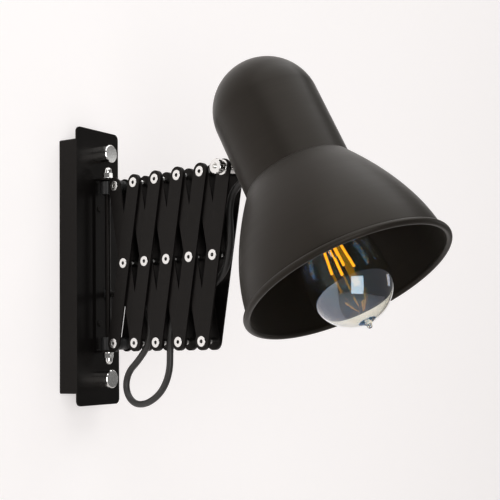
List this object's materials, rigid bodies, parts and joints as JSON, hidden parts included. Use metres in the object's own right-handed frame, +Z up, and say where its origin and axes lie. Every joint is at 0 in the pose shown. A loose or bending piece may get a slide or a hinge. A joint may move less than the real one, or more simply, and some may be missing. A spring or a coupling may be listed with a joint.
{
  "type": "accordion wall lamp",
  "caption": "Wall lamp on a scissor arm: a tall back plate with a swivel rod carries crossed links that push a tilting bell shade out from the wall.",
  "frame": {"origin": "centre of the back face, on the wall", "axes": "+Y into the wall (the lamp reaches out along -Y), +Z up, +X to the right for someone who faces the wall"},
  "size_m": [0.1671, 0.3713, 0.2812],
  "materials": {
    "black_paint": "satin black lacquer",
    "shade_paint": "satin black lacquer inside and out",
    "plated_steel": "polished plating",
    "bare_steel": "zinc plated",
    "brass": "plain",
    "block_plastic": "matt black nylon",
    "holder_plastic": "smooth black phenolic",
    "terminal_plastic": "pale nylon",
    "amber_glass": "clear amber",
    "clear_glass": "clear",
    "filament": "phosphor coating",
    "cord_rubber": "satin black sheath",
    "grommet_rubber": "matt black"
  },
  "bodies": {
    "wall_mount": {"wall_strip": "bare_steel", "plate_studs": "bare_steel", "wall_box": "black_paint", "front_plate": "black_paint", "cap_nuts": "plated_steel", "hinge_bracket": "black_paint", "bracket_rivets": "bare_steel", "swivel_rod": "black_paint", "rod_washers": "plated_steel", "dome_nuts": "plated_steel", "wall_grommet": "grommet_rubber", "terminal_block": "terminal_plastic", "terminal_tubes": "brass", "earth_screw": "brass", "cord": "cord_rubber"},
    "carrier": {"lower_block": "block_plastic"},
    "outer_0": {"outer_links_0": "black_paint", "outer_pivots_0": "plated_steel", "lower_rivet": "plated_steel"},
    "inner_0": {"inner_links_0": "black_paint", "inner_pivots_0": "plated_steel", "upper_rivet": "plated_steel"},
    "slider": {"upper_block": "block_plastic"},
    "inner_1": {"inner_links_1": "black_paint", "inner_pivots_1": "plated_steel"},
    "outer_1": {"outer_links_1": "black_paint", "outer_pivots_1": "plated_steel"},
    "outer_2": {"outer_links_2": "black_paint", "outer_pivots_2": "plated_steel"},
    "inner_2": {"inner_links_2": "black_paint", "inner_pivots_2": "plated_steel"},
    "inner_3": {"inner_links_3": "black_paint", "inner_pivots_3": "plated_steel"},
    "outer_3": {"outer_links_3": "black_paint", "outer_pivots_3": "plated_steel"},
    "outer_4": {"outer_links_4": "black_paint", "outer_pivots_4": "plated_steel", "tilt_screw": "plated_steel", "tilt_nut": "plated_steel"},
    "inner_4": {"half_links": "black_paint"},
    "head": {"knuckle": "plated_steel", "lock_nut": "plated_steel", "saddle_washer": "block_plastic", "inner_nut": "bare_steel", "neck_cup": "shade_paint", "bell_shade": "shade_paint", "holder_strap": "bare_steel", "holder_nipple": "bare_steel", "nipple_nut": "bare_steel", "lampholder": "holder_plastic", "holder_ring": "holder_plastic", "socket_shell": "terminal_plastic", "bulb_cap": "brass", "bulb_glass": "amber_glass", "bulb_stem": "clear_glass", "filaments": "filament", "head_grommet": "grommet_rubber"}
  },
  "joints": [
    {"name": "swivel", "type": "hinge", "parent": "wall_mount", "child": "carrier", "pos_m": [0, -0.0324, 0], "axis": [0, 0, 1], "range_deg": [-61, 79], "deforming": ["cord"]},
    {"name": "extend", "type": "hinge", "parent": "carrier", "child": "outer_0", "pos_m": [-0.00258, -0.0487, -0.07021], "axis": [0.9877, -0.1564, 0], "range_deg": [-2.88, 22], "deforming": ["cord"]},
    {"name": "cross_0", "type": "hinge", "parent": "outer_0", "child": "inner_0", "pos_m": [-0.00469, -0.06203, 0], "axis": [0.9877, -0.1564, 0], "range_deg": [-44, 5.76]},
    {"name": "slider_pivot", "type": "hinge", "parent": "inner_0", "child": "slider", "pos_m": [-0.00258, -0.0487, 0.07021], "axis": [0.9877, -0.1564, 0], "range_deg": [-2.88, 22]},
    {"name": "top_1", "type": "hinge", "parent": "outer_0", "child": "inner_1", "pos_m": [-0.0068, -0.07536, 0.07021], "axis": [0.9877, -0.1564, 0], "range_deg": [-44, 5.76]},
    {"name": "cross_1", "type": "hinge", "parent": "inner_1", "child": "outer_1", "pos_m": [-0.00891, -0.08869, 0], "axis": [0.9877, -0.1564, 0], "range_deg": [-5.76, 44]},
    {"name": "bottom_2", "type": "hinge", "parent": "inner_1", "child": "outer_2", "pos_m": [-0.01103, -0.10202, -0.07021], "axis": [0.9877, -0.1564, 0], "range_deg": [-5.76, 44]},
    {"name": "cross_2", "type": "hinge", "parent": "outer_2", "child": "inner_2", "pos_m": [-0.01314, -0.11535, 0], "axis": [0.9877, -0.1564, 0], "range_deg": [-44, 5.76]},
    {"name": "top_3", "type": "hinge", "parent": "outer_2", "child": "inner_3", "pos_m": [-0.01525, -0.12867, 0.07021], "axis": [0.9877, -0.1564, 0], "range_deg": [-44, 5.76]},
    {"name": "cross_3", "type": "hinge", "parent": "inner_3", "child": "outer_3", "pos_m": [-0.01736, -0.142, 0], "axis": [0.9877, -0.1564, 0], "range_deg": [-5.76, 44]},
    {"name": "bottom_4", "type": "hinge", "parent": "inner_3", "child": "outer_4", "pos_m": [-0.01947, -0.15533, -0.07021], "axis": [0.9877, -0.1564, 0], "range_deg": [-5.76, 44]},
    {"name": "cross_4", "type": "hinge", "parent": "outer_4", "child": "inner_4", "pos_m": [-0.02158, -0.16866, 0], "axis": [0.9877, -0.1564, 0], "range_deg": [-44, 5.76]},
    {"name": "tilt", "type": "hinge", "parent": "outer_4", "child": "head", "pos_m": [-0.02369, -0.18199, 0.07021], "axis": [0.9877, -0.1564, 0], "range_deg": [-65, 18], "deforming": ["cord"]}
  ],
  "couplings": [
    {"joint": "cross_0", "follows": "extend", "ratio": -2},
    {"joint": "slider_pivot", "follows": "extend", "ratio": 1},
    {"joint": "top_1", "follows": "extend", "ratio": -2},
    {"joint": "cross_1", "follows": "extend", "ratio": 2},
    {"joint": "bottom_2", "follows": "extend", "ratio": 2},
    {"joint": "cross_2", "follows": "extend", "ratio": -2},
    {"joint": "top_3", "follows": "extend", "ratio": -2},
    {"joint": "cross_3", "follows": "extend", "ratio": 2},
    {"joint": "bottom_4", "follows": "extend", "ratio": 2},
    {"joint": "cross_4", "follows": "extend", "ratio": -2}
  ]
}
